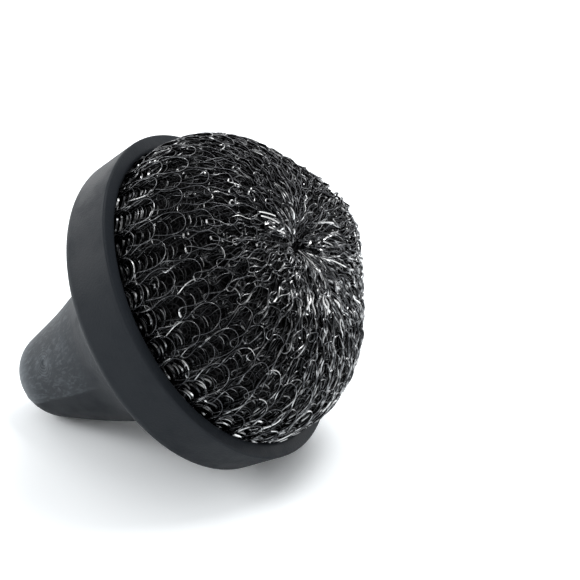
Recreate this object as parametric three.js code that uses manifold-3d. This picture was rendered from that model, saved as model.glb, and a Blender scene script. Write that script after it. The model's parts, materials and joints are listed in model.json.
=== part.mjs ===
// Grill brush: a domed pad of knitted steel wire, held in the bell of a one-piece moulded handle.
//
// Every piece is made in the tool's own frame: Y is the tool's axis, with y = 0 in the plane of the
// rim's lip and +Y towards the pad. At the end the tool is laid on its side, on its rim and the end
// of its grip, with the axis over X and the pad towards +X.

import * as THREE from "three";
import { mergeVertices } from "three/addons/utils/BufferGeometryUtils.js";
import Module from "manifold-3d";

const wasm = await Module();
wasm.setup();

// Fits: the gap left wherever two pieces seat, and the sides of every turned piece.
const SEAT_GAP = 0.3;
const TURNED_SIDES = 48;

// Handle moulding. Depths are measured back from the lip.
const RIM_RADIUS = 45;
const RIM_TAPER = 1;
const RIM_DEPTH = 12.6;
const LIP_EDGE_RADIUS = 1.2;
const LIP_FLAT = 1.8;
const LIP_BEVEL_WIDTH = 1.8;
const LIP_BEVEL_DEPTH = 3;
const CUP_DRAFT = 0.6;
const SHOULDER_RADIUS = 2;
const SHOULDER_SLOPE = THREE.MathUtils.degToRad(55);
const GRIP_ROOT_DEPTH = 40;
const GRIP_ROOT_RADIUS = 20.2;
const GRIP_END_DEPTH = 71.9;
const GRIP_END_RADIUS = 13.1;
const GRIP_DROP = 1.75;
const WALL = 3.6;
const RIB_COUNT = 6;
const RIB_THICKNESS = 2;
const RIB_LENGTH = 28;
const BOSS_RADIUS = 4.8;

// Claw plate, screwed to the boss inside the bell.
const PLATE_DEPTH = 15.6;
const PLATE_THICKNESS = 2.4;
const PLATE_RADIUS = 25;
const CLAW_COUNT = 6;
const CLAW_INNER_RADIUS = 10.6;
const CLAW_THICKNESS = 2.6;
const CLAW_WIDTH = 4;
const CLAW_HEIGHT = 12;
const BARB_REACH = 2.2;
const BARB_HEIGHT = 5;

// Screw and washer that hold the claw plate.
const SCREW_RADIUS = 2.1;
const SCREW_LENGTH = 20;
const SCREW_HEAD_RADIUS = 4;
const SCREW_HEAD_HEIGHT = 2.6;
const SCREW_SLOT_WIDTH = 1.1;
const SCREW_SLOT_DEPTH = 1.4;
const WASHER_RADIUS = 5.4;
const WASHER_THICKNESS = 1;

// Pad: its dome is the surface that the centre line of the knitted wire follows.
const DOME_RADIUS = 38.2;
const DOME_BASE = 6;
const DOME_RISE = 26.6;
const DOME_POWER = 1.9;
const DIMPLE_DEPTH = 5.5;
const DIMPLE_WIDTH = 6.5;
const SKIRT_DEPTH = 7;
const HOLLOW_RADIUS = 17.3;
const NECK_WALL = 4;
const NECK_LENGTH = 2.8;
const PLEAT_HEIGHT = 0.7;
const TIE_WIRE_RADIUS = 0.7;

// Knit: one wire, laid round and round the dome in loops that hook through the round below.
const WIRE_DIAMETER = 0.64;
const WALES = 22;
const COURSES = 9;
const KNIT_START = 2.4;
const KNIT_END_RADIUS = 20.5;
const LOOP_HEIGHT = 0.95;
const LOOP_BULGE = 2.25;
const LOOP_LIFT = 1.3;
const LOOP_LEAN = 0.3;
const LOOP_STEPS = 6;
const WIRE_SIDES = 3;

const FINISHES = {
  moulding: { color: 0x3b3e41, roughness: 0.6, metalness: 0 },
  claws: { color: 0x2d2f32, roughness: 0.6, metalness: 0 },
  fastener: { color: 0xb9bdc1, roughness: 0.35, metalness: 1 },
  wire: { color: 0x9a9c9e, roughness: 0.3, metalness: 1 },
  roll: { color: 0x55585a, roughness: 0.55, metalness: 1 },
};

// Sizes that follow from the ones above. Heights along the axis are negative behind the lip.
const PLATE_TOP = -PLATE_DEPTH;
const PLATE_UNDERSIDE = PLATE_TOP - PLATE_THICKNESS;
const BOSS_TOP = PLATE_UNDERSIDE - SEAT_GAP;
const CLAW_TOP = PLATE_TOP + CLAW_HEIGHT;
const CLAW_OUTER_RADIUS = CLAW_INNER_RADIUS + CLAW_THICKNESS;
const BARB_UNDERSIDE = CLAW_TOP - BARB_HEIGHT;
const SCREW_HOLE_RADIUS = SCREW_RADIUS + SEAT_GAP;
const PAD_UNDERSIDE = PLATE_TOP + SEAT_GAP;
const NECK_BORE = CLAW_OUTER_RADIUS + SEAT_GAP;
const NECK_RADIUS = NECK_BORE + NECK_WALL;
const ROLL_SIDES = (TURNED_SIDES * 3) / 4;
const KNIT_DEPTH = LOOP_LIFT / 2 + LOOP_LEAN + WIRE_DIAMETER / 2;
const ROLL_INSET = KNIT_DEPTH + SEAT_GAP;
const CUP_RADIUS = RIM_RADIUS - LIP_EDGE_RADIUS - LIP_FLAT - LIP_BEVEL_WIDTH;

const point = (radius, height) => new THREE.Vector2(radius, height);

// Points on an arc of a profile, both ends included. Angles are from the radius towards the axis.
function arc(centre, radius, from, to, steps) {
  return Array.from({ length: steps + 1 }, (_, i) => {
    const angle = from + ((to - from) * i) / steps;
    return point(centre.x + radius * Math.cos(angle), centre.y + radius * Math.sin(angle));
  });
}

// The geometry as one indexed surface, without the triangles that shrink to a line on the axis.
function welded(geometry) {
  const bare = new THREE.BufferGeometry().setAttribute("position", geometry.getAttribute("position"));
  bare.setIndex(geometry.index);
  const merged = mergeVertices(bare, 1e-4);
  const kept = [];
  for (let i = 0; i < merged.index.count; i += 3) {
    const [a, b, c] = [0, 1, 2].map((k) => merged.index.getX(i + k));
    if (a !== b && b !== c && c !== a) kept.push(a, b, c);
  }
  return merged.setIndex(kept);
}

// A turned piece. Its sides straddle the direction that faces the floor, so it lies on a flat.
function turned(profile, sides = TURNED_SIDES) {
  return welded(new THREE.LatheGeometry(profile, sides, Math.PI / sides));
}

function solidOf(geometry) {
  const surface = welded(geometry);
  return new wasm.Manifold(
    new wasm.Mesh({
      numProp: 3,
      vertProperties: new Float32Array(surface.getAttribute("position").array),
      triVerts: new Uint32Array(surface.index.array),
    }),
  );
}

function geometryOf(solid) {
  const mesh = solid.getMesh();
  return new THREE.BufferGeometry()
    .setAttribute("position", new THREE.BufferAttribute(mesh.vertProperties, 3))
    .setIndex(new THREE.BufferAttribute(mesh.triVerts, 1));
}

// A plain cylinder on the axis between two heights.
function cylinder(radius, bottom, top, sides) {
  return turned([point(0, bottom), point(radius, bottom), point(radius, top), point(0, top)], sides);
}

// A box whose inner end stands on the axis, turned to the given angle round it.
function spoke(length, width, bottom, top, angle) {
  return new THREE.BoxGeometry(length, top - bottom, width)
    .translate(length / 2, (top + bottom) / 2, 0)
    .rotateY(angle);
}

// The outside of the bell and grip, from the end of the grip to where the rim meets the lip's edge.
// Moved inwards by the wall it is the inside too, where it starts and ends as the caller asks.
function bellProfile(inset) {
  const endCentre = point(0, -GRIP_END_DEPTH + GRIP_END_RADIUS);
  const root = point(GRIP_ROOT_RADIUS, -GRIP_ROOT_DEPTH);
  const toRoot = root.clone().sub(endCentre);
  const taper = Math.atan2(toRoot.x, toRoot.y) - Math.asin(GRIP_END_RADIUS / toRoot.length());
  const end = arc(endCentre, GRIP_END_RADIUS - inset, -Math.PI / 2, -taper, 6);

  const shoulderCentre = point(RIM_RADIUS - RIM_TAPER - SHOULDER_RADIUS, -RIM_DEPTH);
  const shoulder = arc(shoulderCentre, SHOULDER_RADIUS, -SHOULDER_SLOPE, 0, 4);
  const reach = 0.38 * root.distanceTo(shoulder[0]);
  const flare = new THREE.CubicBezierCurve(
    root,
    point(root.x + reach * Math.sin(taper), root.y + reach * Math.cos(taper)),
    point(
      shoulder[0].x - reach * Math.sin(SHOULDER_SLOPE),
      shoulder[0].y - reach * Math.cos(SHOULDER_SLOPE),
    ),
    shoulder[0],
  );
  const flarePoints = [0, 0.16, 0.32, 0.48, 0.64, 0.8, 1].map((u) => {
    const along = flare.getTangent(u);
    return flare.getPoint(u).add(point(-along.y, along.x).multiplyScalar(inset));
  });
  return { end, flare: flarePoints, shoulder };
}

// How far the grip's round sections lie below the bell's axis: nothing at the rim and at the grip's end.
function dropAt(height) {
  const fromRim = THREE.MathUtils.smoothstep(-height, RIM_DEPTH, GRIP_ROOT_DEPTH);
  const fromEnd = THREE.MathUtils.smoothstep(GRIP_END_DEPTH + height, 0, 2 * GRIP_END_RADIUS);
  return GRIP_DROP * fromRim * fromEnd;
}

// Moves the sections of a turned piece down by the grip's drop.
function dropped(geometry) {
  const position = geometry.getAttribute("position");
  for (let i = 0; i < position.count; i++) {
    position.setZ(i, position.getZ(i) - dropAt(position.getY(i)));
  }
  return geometry;
}

function handleOutline() {
  const { end, flare, shoulder } = bellProfile(0);
  const lipEdge = arc(
    point(RIM_RADIUS - LIP_EDGE_RADIUS, -LIP_EDGE_RADIUS),
    LIP_EDGE_RADIUS,
    0,
    Math.PI / 2,
    3,
  );
  return [...end, ...flare.slice(0, -1), ...shoulder, ...lipEdge];
}

// The space inside the cup and the grip, open at the lip.
function cupProfile() {
  const { end, flare } = bellProfile(WALL);
  const lower = [...end, ...flare].filter((p) => p.x < CUP_RADIUS - CUP_DRAFT - 1);
  const last = lower.at(-1);
  const floorRadius = CUP_RADIUS - CUP_DRAFT;
  const corner = point(floorRadius, last.y + (floorRadius - last.x) / Math.tan(SHOULDER_SLOPE));
  const lipInside = point(CUP_RADIUS + LIP_BEVEL_WIDTH, 0);
  return [...lower, corner, point(CUP_RADIUS, -LIP_BEVEL_DEPTH), lipInside, point(0, 0)];
}

// One moulding: bell, rim and grip with a hollow inside, where ribs carry the screw boss.
function handle() {
  const outline = handleOutline();
  const outside = solidOf(dropped(turned([...outline, point(0, outline.at(-1).y)])));
  const foot = BOSS_TOP - RIB_LENGTH;
  const boss = solidOf(cylinder(BOSS_RADIUS, foot, BOSS_TOP, 16));
  let hollow = solidOf(dropped(turned(cupProfile()))).subtract(boss);
  for (let i = 0; i < RIB_COUNT; i++) {
    const rib = spoke(RIM_RADIUS, RIB_THICKNESS, foot, BOSS_TOP, ((i + 0.5) / RIB_COUNT) * 2 * Math.PI);
    hollow = hollow.subtract(solidOf(rib));
  }
  const pilot = cylinder(SCREW_HOLE_RADIUS, PLATE_TOP - SCREW_LENGTH - 1, 0, 16);
  return geometryOf(outside.subtract(hollow).subtract(solidOf(pilot)));
}

// One claw seen from the side: a finger with a barb that points outwards and back down.
function clawGeometry(angle) {
  const side = new THREE.Shape()
    .moveTo(CLAW_INNER_RADIUS, PLATE_TOP - PLATE_THICKNESS / 2)
    .lineTo(CLAW_OUTER_RADIUS, PLATE_TOP - PLATE_THICKNESS / 2)
    .lineTo(CLAW_OUTER_RADIUS, BARB_UNDERSIDE)
    .lineTo(CLAW_OUTER_RADIUS + BARB_REACH, BARB_UNDERSIDE - BARB_REACH / 4)
    .quadraticCurveTo(CLAW_OUTER_RADIUS + BARB_REACH / 3, CLAW_TOP, CLAW_INNER_RADIUS + 1, CLAW_TOP)
    .quadraticCurveTo(CLAW_INNER_RADIUS, CLAW_TOP, CLAW_INNER_RADIUS, CLAW_TOP - 1)
    .closePath();
  return new THREE.ExtrudeGeometry(side, { depth: CLAW_WIDTH, bevelEnabled: false, curveSegments: 5 })
    .translate(0, 0, -CLAW_WIDTH / 2)
    .rotateY(angle);
}

// A disc with a ring of claws. Under each barb is the window that its mould core leaves.
function clawPlate() {
  const edge = PLATE_THICKNESS / 4;
  let plate = solidOf(
    turned([
      point(0, PLATE_UNDERSIDE),
      point(PLATE_RADIUS - edge, PLATE_UNDERSIDE),
      point(PLATE_RADIUS, PLATE_UNDERSIDE + edge),
      point(PLATE_RADIUS, PLATE_TOP - edge),
      point(PLATE_RADIUS - edge, PLATE_TOP),
      point(0, PLATE_TOP),
    ]),
  );
  plate = plate.subtract(solidOf(cylinder(SCREW_HOLE_RADIUS, PLATE_UNDERSIDE - 1, PLATE_TOP + 1, 16)));
  for (let i = 0; i < CLAW_COUNT; i++) {
    const angle = (i / CLAW_COUNT) * 2 * Math.PI;
    const window = new THREE.BoxGeometry(BARB_REACH, PLATE_THICKNESS + 2, CLAW_WIDTH)
      .translate(CLAW_OUTER_RADIUS + BARB_REACH / 2, PLATE_TOP - PLATE_THICKNESS / 2, 0)
      .rotateY(angle);
    plate = plate.subtract(solidOf(window)).add(solidOf(clawGeometry(angle)));
  }
  return geometryOf(plate);
}

function washer() {
  const bottom = PLATE_TOP + SEAT_GAP;
  const top = bottom + WASHER_THICKNESS;
  const hole = SCREW_HOLE_RADIUS;
  return turned(
    [
      point(hole, bottom),
      point(WASHER_RADIUS, bottom),
      point(WASHER_RADIUS, top),
      point(hole, top),
      point(hole, bottom),
    ],
    24,
  );
}

// A self-tapping screw with a domed head and a cross slot.
function screw() {
  const seat = PLATE_TOP + SEAT_GAP + WASHER_THICKNESS + SEAT_GAP;
  const tip = seat - SCREW_LENGTH;
  const body = solidOf(
    turned(
      [
        point(0, tip),
        point(SCREW_RADIUS, tip + 2 * SCREW_RADIUS),
        point(SCREW_RADIUS, seat),
        point(SCREW_HEAD_RADIUS, seat),
        point(SCREW_HEAD_RADIUS, seat + SCREW_HEAD_HEIGHT / 2),
        point(SCREW_HEAD_RADIUS * 0.8, seat + SCREW_HEAD_HEIGHT * 0.88),
        point(0, seat + SCREW_HEAD_HEIGHT),
      ],
      16,
    ),
  );
  const slot = new THREE.BoxGeometry(SCREW_HEAD_RADIUS * 1.2, 2 * SCREW_SLOT_DEPTH, SCREW_SLOT_WIDTH);
  slot.translate(0, seat + SCREW_HEAD_HEIGHT, 0);
  const across = slot.clone().rotateY(Math.PI / 2);
  return geometryOf(body.subtract(solidOf(slot)).subtract(solidOf(across)));
}

// The drawn-in ring of wire that ties the pad's neck below the barbs.
function tieWire() {
  return welded(new THREE.TorusGeometry(NECK_RADIUS + SEAT_GAP + TIE_WIRE_RADIUS, TIE_WIRE_RADIUS, 6, 30))
    .rotateX(Math.PI / 2)
    .translate(0, PAD_UNDERSIDE + TIE_WIRE_RADIUS, 0);
}

// The dome's meridian as a quarter of a superellipse with a dimple at the pole, moved along its
// normal by an offset. The share runs from 0 at the widest circle to 1 at the pole.
function domePoint(share, offset) {
  const on = (u) => {
    const angle = (Math.min(Math.max(u, 0), 1) * Math.PI) / 2;
    const radius = DOME_RADIUS * Math.cos(angle) ** (2 / DOME_POWER);
    const dimple = DIMPLE_DEPTH * Math.exp(-((radius / DIMPLE_WIDTH) ** 2));
    return point(radius, DOME_BASE + DOME_RISE * Math.sin(angle) ** (2 / DOME_POWER) - dimple);
  };
  const along = on(share + 0.004).sub(on(share - 0.004)).normalize();
  return on(share).add(point(along.y, -along.x).multiplyScalar(offset));
}

// The share of the meridian at which the dome narrows to a radius.
function domeShareAt(radius, offset) {
  let [low, high] = [0, 1];
  for (let i = 0; i < 30; i++) {
    const middle = (low + high) / 2;
    if (domePoint(middle, offset).x > radius) low = middle;
    else high = middle;
  }
  return low;
}

// The inner turns of the rolled knit: a ring with a drawn-in neck round the claws.
function meshRoll() {
  const wide = DOME_RADIUS - ROLL_INSET;
  const underside = PAD_UNDERSIDE + NECK_LENGTH;
  const heel = (DOME_BASE - underside) / 2;
  const top = domeShareAt(HOLLOW_RADIUS, -ROLL_INSET);
  const dome = Array.from({ length: 11 }, (_, i) => domePoint((top * i) / 10, -ROLL_INSET));
  const barbClear = BARB_UNDERSIDE - BARB_REACH / 4 - SEAT_GAP;
  return turned([
    point(NECK_BORE, PAD_UNDERSIDE),
    point(NECK_RADIUS, PAD_UNDERSIDE),
    point(NECK_RADIUS, underside),
    ...arc(point(wide - heel, underside + heel), heel, -Math.PI / 2, 0, 4),
    ...dome.slice(0, -1),
    point(HOLLOW_RADIUS, dome.at(-1).y),
    point(HOLLOW_RADIUS, barbClear),
    point(NECK_BORE, barbClear),
    point(NECK_BORE, PAD_UNDERSIDE),
  ], ROLL_SIDES);
}

// The tucked-in end of the knitted tube, gathered into radial pleats round the dimple at the pole.
function meshTail() {
  const radius = HOLLOW_RADIUS - SEAT_GAP;
  const edge = domeShareAt(radius, 0);
  const crown = Array.from({ length: 8 }, (_, i) => domePoint(edge + ((1 - edge) * i) / 7, 0));
  crown[0].x = radius;
  crown[7].x = 0;
  const bottom = CLAW_TOP + SEAT_GAP;
  const tail = turned([point(0, bottom), point(radius, bottom), ...crown], 2 * WALES);
  const position = tail.getAttribute("position");
  for (let i = 0; i < position.count; i++) {
    const [x, y, z] = [position.getX(i), position.getY(i), position.getZ(i)];
    const across = Math.hypot(x, z) / radius;
    if (y < DOME_BASE || across > 0.99) continue;
    const fold = Math.sin(WALES * Math.atan2(x, z)) * Math.sin(Math.PI * across);
    position.setY(i, y + PLEAT_HEIGHT * (1 + fold));
  }
  return tail;
}

// A place on the dome by its distance along the meridian from the lower edge of the skirt.
function meridian() {
  const steps = 240;
  const places = [{ at: domePoint(0, 0).sub(point(0, SKIRT_DEPTH)), out: point(1, 0), length: 0 }];
  for (let i = 0; i <= steps; i++) {
    const at = domePoint(i / steps, 0);
    const before = places.at(-1);
    places.push({
      at,
      out: domePoint(i / steps, 1).sub(at),
      length: before.length + at.distanceTo(before.at),
    });
  }
  return places;
}

// One wire knitted in a rising spiral. In each loop the angle t turns once: the wire swings to the
// side with sin 2t, climbs and falls with cos t, and passes over and under with cos 2t, so that the
// legs of every loop come up through the loop below it.
function knitPath() {
  const places = meridian();
  const end = places.find((p) => p.length > SKIRT_DEPTH && p.at.x < KNIT_END_RADIUS).length;
  const pitch = (end - KNIT_START) / COURSES;
  const path = [];
  for (let i = 0; i < WALES * COURSES * LOOP_STEPS; i++) {
    const t = ((i + 0.5) / LOOP_STEPS) * 2 * Math.PI;
    const turn = (t + LOOP_BULGE * Math.sin(2 * t)) / WALES;
    const length = KNIT_START + pitch * (t / (2 * Math.PI * WALES) - LOOP_HEIGHT * Math.cos(t));
    const over = Math.max(places.findIndex((p) => p.length >= length), 1);
    const [low, high] = [places[over - 1], places[over]];
    const between = (length - low.length) / (high.length - low.length);
    const out = low.out.clone().lerp(high.out, between).normalize();
    const lift = -LOOP_LIFT * Math.cos(2 * t) - LOOP_LEAN * Math.cos(t);
    const place = low.at.clone().lerp(high.at, between).add(out.clone().multiplyScalar(lift));
    const spin = (v) => new THREE.Vector3(v.x * Math.sin(turn), v.y, v.x * Math.cos(turn));
    path.push({ at: spin(place), out: spin(out) });
  }
  return path;
}

// A closed tube along a path of places, each with the direction that its first corner faces.
function wireTube(path, radius, sides) {
  const corners = [];
  path.forEach(({ at, out }, i) => {
    const before = path[Math.max(i - 1, 0)].at;
    const after = path[Math.min(i + 1, path.length - 1)].at;
    const along = after.clone().sub(before).normalize();
    const across = along.clone().cross(out).normalize();
    const up = across.clone().cross(along);
    for (let k = 0; k < sides; k++) {
      const angle = (k / sides) * 2 * Math.PI;
      const corner = at.clone().addScaledVector(up, radius * Math.cos(angle));
      corners.push(...corner.addScaledVector(across, radius * Math.sin(angle)));
    }
  });
  const index = [];
  for (let i = 0; i + 1 < path.length; i++) {
    for (let k = 0; k < sides; k++) {
      const [a, b] = [i * sides + k, i * sides + ((k + 1) % sides)];
      index.push(a, b, a + sides, b, b + sides, a + sides);
    }
  }
  const last = (path.length - 1) * sides;
  for (let k = 1; k + 1 < sides; k++) index.push(0, k + 1, k, last, last + k, last + k + 1);
  return new THREE.BufferGeometry()
    .setAttribute("position", new THREE.Float32BufferAttribute(corners, 3))
    .setIndex(index);
}

// The least clear distance between stretches of a wire that are not next to each other.
function leastGap(path, diameter) {
  const perStep = 6;
  const fine = [];
  for (let i = 0; i + 1 < path.length; i++) {
    for (let k = 0; k < perStep; k++) fine.push(path[i].at.clone().lerp(path[i + 1].at, k / perStep));
  }
  let least = Infinity;
  for (let i = 0; i < fine.length; i++) {
    for (let j = i + 3 * perStep; j < fine.length; j++) {
      least = Math.min(least, fine[i].distanceToSquared(fine[j]));
    }
  }
  return Math.sqrt(least) - diameter;
}

function meshSkin() {
  const path = knitPath();
  console.log(`mesh_skin: least gap of the wire to itself ${leastGap(path, WIRE_DIAMETER).toFixed(2)} mm`);
  return wireTube(path, WIRE_DIAMETER / 2, WIRE_SIDES);
}

// The angle between the axis and the floor when the rim and the end of the grip both lie on it.
function lyingTilt() {
  const flat = Math.cos(Math.PI / TURNED_SIDES);
  const outline = handleOutline();
  const grip = outline.filter((p) => p.y < -GRIP_ROOT_DEPTH);
  const rim = outline.filter((p) => p.y > -GRIP_ROOT_DEPTH);
  const below = (q) => q.x * flat + dropAt(q.y);
  const tiltAt = (p) => Math.min(...grip.map((q) => Math.atan2(below(p) - below(q), p.y - q.y)));
  return Math.max(...rim.map(tiltAt));
}

function piece(name, geometry, finish) {
  const mesh = new THREE.Mesh(geometry, new THREE.MeshStandardMaterial(FINISHES[finish]));
  mesh.name = name;
  return mesh;
}

const tool = new THREE.Group();
tool.rotation.z = -Math.PI / 2;
tool.add(
  piece("handle", handle(), "moulding"),
  piece("claw_plate", clawPlate(), "claws"),
  piece("plate_washer", washer(), "fastener"),
  piece("plate_screw", screw(), "fastener"),
  piece("tie_wire", tieWire(), "wire"),
  piece("mesh_roll", meshRoll(), "roll"),
  piece("mesh_tail", meshTail(), "roll"),
  piece("mesh_skin", meshSkin(), "wire"),
);

const lying = new THREE.Group();
lying.rotation.y = -lyingTilt();
lying.add(tool);
const box = new THREE.Box3().setFromObject(lying, true);
const centre = box.getCenter(new THREE.Vector3());
lying.position.set(-centre.x, -centre.y, -box.min.z);

const brush = new THREE.Group();
brush.add(lying);

export default brush;
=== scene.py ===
"""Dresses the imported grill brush: a moulded bell handle that holds a domed pad of knitted flat steel wire.

Sizes are in millimetres in the tool's own frame, whose axis runs from the grip to the pad with height 0
in the plane of the rim's lip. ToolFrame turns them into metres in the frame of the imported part.
"""

from __future__ import annotations

import json
import logging
import math
from dataclasses import dataclass, field
from enum import Enum
from typing import Any

import bmesh
import bpy
import numpy as np
from bpy.types import Material, Node, NodeSocket, NodeTree, Object
from mathutils import Euler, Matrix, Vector


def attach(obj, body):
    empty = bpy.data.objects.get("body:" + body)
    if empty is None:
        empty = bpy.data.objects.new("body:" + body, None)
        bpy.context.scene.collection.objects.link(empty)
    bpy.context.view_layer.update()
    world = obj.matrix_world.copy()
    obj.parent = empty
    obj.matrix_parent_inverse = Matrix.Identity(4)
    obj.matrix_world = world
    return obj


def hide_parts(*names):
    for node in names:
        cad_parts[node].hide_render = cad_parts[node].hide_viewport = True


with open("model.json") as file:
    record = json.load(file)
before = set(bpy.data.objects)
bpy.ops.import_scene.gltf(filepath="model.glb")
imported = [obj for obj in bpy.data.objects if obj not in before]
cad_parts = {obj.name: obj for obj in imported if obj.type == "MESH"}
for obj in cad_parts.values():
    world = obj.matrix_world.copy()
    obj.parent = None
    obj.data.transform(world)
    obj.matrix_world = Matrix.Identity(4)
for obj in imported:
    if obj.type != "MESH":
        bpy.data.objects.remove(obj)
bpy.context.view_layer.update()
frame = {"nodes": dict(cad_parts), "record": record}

BODY = "root"
MM = 0.001
FULL_TURN = 2 * math.pi

Pair = tuple[float, float]
Triple = tuple[float, float, float]

log = logging.getLogger("grill_brush")


class Slot(Enum):
    """The record's material slots."""

    HANDLE = "handle_plastic"
    WIRE = "steel_wire"
    ROLL = "knit_roll"


class Shading(Enum):
    """How a mesh's faces are shaded."""

    SMOOTH = True
    FLAT = False


# Shared helpers


def linear(hex_colour: str) -> tuple[float, float, float, float]:
    """Turn an sRGB hex colour into linear RGBA.

    Args:
        hex_colour: Six hex digits.

    Returns:
        Linear red, green, blue and an alpha of 1.
    """
    srgb = np.array([int(hex_colour[i : i + 2], 16) for i in (0, 2, 4)]) / 255
    rgb = np.where(srgb <= 0.04045, srgb / 12.92, ((srgb + 0.055) / 1.055) ** 2.4)
    return (*rgb.tolist(), 1.0)


def smooth_step(share: np.ndarray) -> np.ndarray:
    """Rise from 0 to 1 as 3x^2 - 2x^3, flat at both ends and beyond them."""
    x = np.clip(share, 0, 1)
    return x * x * (3 - 2 * x)


def grade(ends: Pair, share: np.ndarray) -> np.ndarray:
    """Go from the first value to the second as the share goes from 0 to 1."""
    return ends[0] + (ends[1] - ends[0]) * share


def wrap(angle: np.ndarray, period: float) -> np.ndarray:
    """Bring angles to within half a period of 0."""
    return (angle + period / 2) % period - period / 2


def unit(vectors: np.ndarray) -> np.ndarray:
    """Scale vectors, which lie along the last axis, to a length of 1."""
    return vectors / np.linalg.norm(vectors, axis=-1, keepdims=True)


def feed(tree: NodeTree, node: Node, **inputs: Any) -> None:
    """Set a node's input sockets or link them.

    Args:
        tree: The node tree.
        node: The node.
        inputs: Values or output sockets for its inputs, named with _ for a space, or in_0 for an index.
    """
    for name, value in inputs.items():
        socket = node.inputs[int(name[3:]) if name.startswith("in_") else name.replace("_", " ")]
        if isinstance(value, NodeSocket):
            tree.links.new(value, socket)
        else:
            socket.default_value = value


def add_node(tree: NodeTree, kind: str, settings: dict[str, Any], **inputs: Any) -> Node:
    """Add one node with its settings, socket values and links.

    Args:
        tree: The node tree.
        kind: The node's type name without the ShaderNode prefix.
        settings: Properties of the node itself.
        inputs: What its inputs are fed with.

    Returns:
        The new node.
    """
    node = tree.nodes.new("ShaderNode" + kind)
    for name, value in settings.items():
        setattr(node, name, value)
    feed(tree, node, **inputs)
    return node


def new_material(name: str) -> tuple[Material, NodeTree, Node]:
    """Make a node material.

    Args:
        name: The material's name.

    Returns:
        The material, its tree and its Principled shader, which is linked to the output.
    """
    material = bpy.data.materials.new(name)
    material.use_nodes = True
    tree = material.node_tree
    tree.nodes.clear()
    shader = add_node(tree, "BsdfPrincipled", {})
    add_node(tree, "OutputMaterial", {}, Surface=shader.outputs["BSDF"])
    return material, tree, shader


def seen_rays(tree: NodeTree) -> NodeSocket:
    """Tell rays that show a thing, to the eye or through a mirror or glass, from those that only light.

    Args:
        tree: The node tree.

    Returns:
        A socket that is 1 for the rays that show it.
    """
    rays = add_node(tree, "LightPath", {}).outputs
    largest = {"operation": "MAXIMUM"}
    seen = add_node(tree, "Math", largest, in_0=rays["Is Camera Ray"], in_1=rays["Is Glossy Ray"]).outputs[0]
    return add_node(tree, "Math", largest, in_0=seen, in_1=rays["Is Transmission Ray"]).outputs[0]


def mesh_object(
    name: str,
    points: np.ndarray,
    faces: np.ndarray,
    shading: Shading,
    *materials: Material,
    choice: np.ndarray | int = 0,
) -> Object:
    """Put arrays of points and faces into a new object at the origin.

    Args:
        name: The piece's name.
        points: Places in metres, one row each.
        faces: Four corner numbers to a row.
        shading: Smooth or flat faces.
        materials: The piece's materials.
        choice: Which material each face has.

    Returns:
        The new object, linked to the scene.
    """
    mesh = bpy.data.meshes.new(name)
    mesh.vertices.add(len(points))
    mesh.vertices.foreach_set("co", points.astype(np.float32).ravel())
    mesh.loops.add(faces.size)
    mesh.loops.foreach_set("vertex_index", faces.astype(np.int32).ravel())
    mesh.polygons.add(len(faces))
    mesh.polygons.foreach_set("loop_start", np.arange(0, faces.size, 4, dtype=np.int32))
    mesh.polygons.foreach_set("use_smooth", np.full(len(faces), shading.value))
    for material in materials:
        mesh.materials.append(material)
    mesh.polygons.foreach_set("material_index", np.broadcast_to(choice, len(faces)).astype(np.int32))
    mesh.update(calc_edges=True)
    piece = bpy.data.objects.new(name, mesh)
    bpy.context.scene.collection.objects.link(piece)
    return piece


def grid_faces(rows: int, columns: int) -> np.ndarray:
    """Number the corners of each cell of a grid of points whose last column joins the first.

    Args:
        rows: Points along the first parameter.
        columns: Points round the second parameter.

    Returns:
        One row of four corner numbers for each cell.
    """
    i, j = np.meshgrid(np.arange(rows - 1), np.arange(columns), indexing="ij")
    right = (j + 1) % columns
    cells = [i * columns + j, i * columns + right, (i + 1) * columns + right, (i + 1) * columns + j]
    return np.stack(cells, axis=-1).reshape(-1, 4)


def ride(piece: Object, slot: Slot, *nodes: str) -> None:
    """Let a piece ride on the body and stand for CAD nodes.

    Args:
        piece: The finished piece.
        slot: The record's slot. It is not used.
        nodes: The CAD nodes that it replaces.
    """
    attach(piece, BODY)
    if nodes:
        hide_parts(*nodes)
    log.info("%s: %d faces", piece.name, len(piece.data.polygons))


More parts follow.
